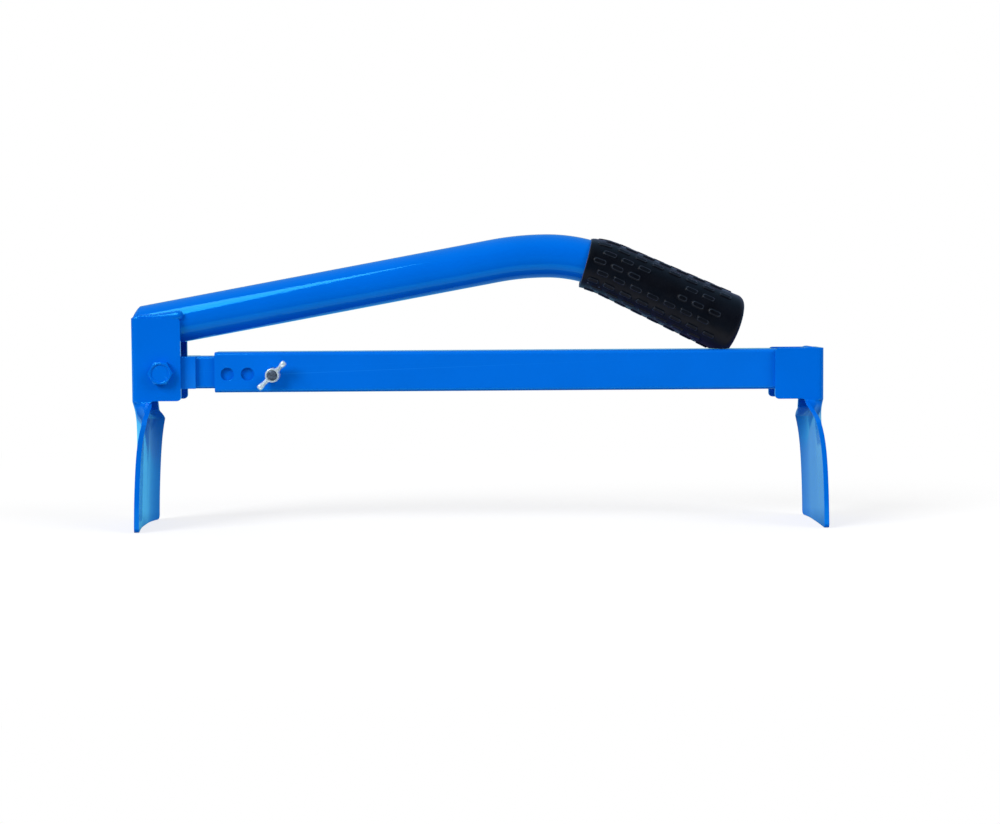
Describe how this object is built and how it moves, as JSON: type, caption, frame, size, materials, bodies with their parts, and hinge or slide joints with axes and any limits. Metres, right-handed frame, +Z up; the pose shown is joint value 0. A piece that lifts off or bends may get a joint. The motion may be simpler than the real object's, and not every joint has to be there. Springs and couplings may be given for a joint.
{
  "type": "block laying tongs",
  "caption": "One-handed block tongs: a telescoping beam with a fixed jaw, and a hinged jaw on a bent lever handle that closes as it is lifted.",
  "frame": {"origin": "on the surface that the jaw tips stand on, midway between the outer faces of the two jaws with the telescope closed, on the beam's middle plane", "axes": "+X along the beam towards the fixed jaw, +Y towards the lock bolt's head, away from the wing nut, +Z up"},
  "size_m": [0.429, 0.079, 0.1811],
  "materials": {
    "blue_paint": "gloss enamel over steel",
    "black_rubber": "moulded, satin",
    "zinc": "bright zinc plate",
    "dark_steel": "dark oxide",
    "nylon": "natural nylon"
  },
  "bodies": {
    "outer_beam": {"outer_tube": "blue_paint", "fixed_jaw": "blue_paint", "fixed_jaw_weld_top": "blue_paint", "fixed_jaw_weld_under": "blue_paint"},
    "inner_beam": {"inner_tube": "blue_paint", "pivot_plate_front": "blue_paint", "pivot_plate_back": "blue_paint"},
    "jaw_lever": {"moving_jaw": "blue_paint", "handle_tube": "blue_paint", "handle_grip": "black_rubber", "handle_weld_front": "blue_paint", "handle_weld_back": "blue_paint", "handle_weld_end": "blue_paint", "pivot_bolt": "blue_paint", "pivot_washer": "blue_paint", "pivot_nut": "blue_paint", "pivot_nut_ring": "nylon"},
    "lock_bolt": {"lock_bolt": "dark_steel", "lock_washer": "zinc"},
    "wing_nut": {"wing_nut": "zinc"}
  },
  "joints": [
    {"name": "telescope_slide", "type": "slide", "parent": "outer_beam", "child": "inner_beam", "axis": [-1, 0, 0], "range_m": [0, 0.27]},
    {"name": "lever_pivot", "type": "hinge", "parent": "inner_beam", "child": "jaw_lever", "pos_m": [-0.19586, 0, 0.0965], "axis": [0, -1, 0], "range_deg": [0, 90]},
    {"name": "lock_bolt_draw", "type": "slide", "parent": "outer_beam", "child": "lock_bolt", "axis": [0, 1, 0], "range_m": [0, 0.009]},
    {"name": "wing_nut_spin", "type": "hinge", "parent": "outer_beam", "child": "wing_nut", "pos_m": [-0.12726, 0, 0.0948], "axis": [0, -1, 0], "range_deg": [0, 3240.1]}
  ],
  "couplings": [
    {"joint": "wing_nut_spin", "follows": "lock_bolt_draw", "rad_per_m": 6283.2}
  ]
}
